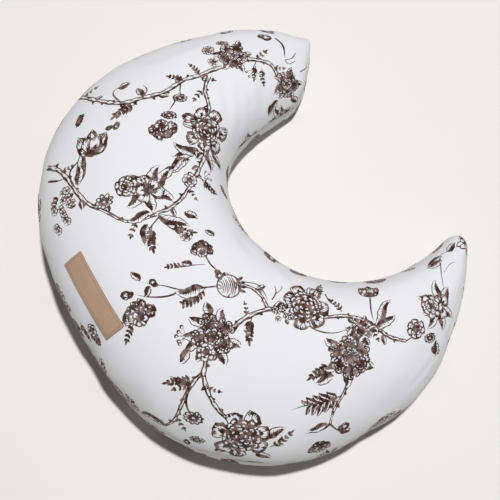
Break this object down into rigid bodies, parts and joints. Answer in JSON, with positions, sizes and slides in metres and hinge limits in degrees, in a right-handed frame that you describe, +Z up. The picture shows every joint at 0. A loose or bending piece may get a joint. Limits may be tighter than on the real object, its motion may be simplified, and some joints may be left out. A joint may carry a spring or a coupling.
{
  "type": "nursing pillow",
  "caption": "Crescent nursing pillow: a printed cotton cover with a leather side patch and an underside zip, round a sewn casing filled with fibre.",
  "frame": {"origin": "middle of the footprint, on the surface the pillow lies on", "axes": "+X from one tip to the other, +Y from the back towards the open side of the crescent, +Z up"},
  "size_m": [0.5704, 0.471, 0.17],
  "materials": {
    "printed_cotton": "matte",
    "label_leather": "satin",
    "label_thread": "matte",
    "care_satin": "satin",
    "zip_tape": "matte",
    "zip_coil": "satin",
    "zip_metal": "satin",
    "casing_cloth": "matte",
    "fibre": "matte"
  },
  "bodies": {
    "pillow": {"cover_top_panel": "printed_cotton", "cover_base_outer_panel": "printed_cotton", "cover_base_inner_panel": "printed_cotton", "label_patch": "label_leather", "label_stitching": "label_thread", "care_label": "care_satin", "zip_tape_outer": "zip_tape", "zip_tape_inner": "zip_tape", "zip_coil_outer": "zip_coil", "zip_coil_inner": "zip_coil", "zip_top_stop_outer": "zip_metal", "zip_top_stop_inner": "zip_metal", "zip_bottom_stop": "zip_metal", "casing_top_panel": "casing_cloth", "casing_base_panel": "casing_cloth", "fibre_filling": "fibre"},
    "slider": {"zip_slider": "zip_metal"},
    "pull_tab": {"zip_pull_tab": "zip_metal"}
  },
  "joints": [
    {"name": "zip_travel", "type": "hinge", "parent": "pillow", "child": "slider", "pos_m": [0.00112, 0.08091, 0], "axis": [0, 0, 1], "range_deg": [-92.5, 0]},
    {"name": "pull_tab_swing", "type": "hinge", "parent": "slider", "child": "pull_tab", "pos_m": [0.14033, -0.05192, 0.00175], "axis": [0.7314, -0.682, 0], "range_deg": [0, 150]}
  ]
}
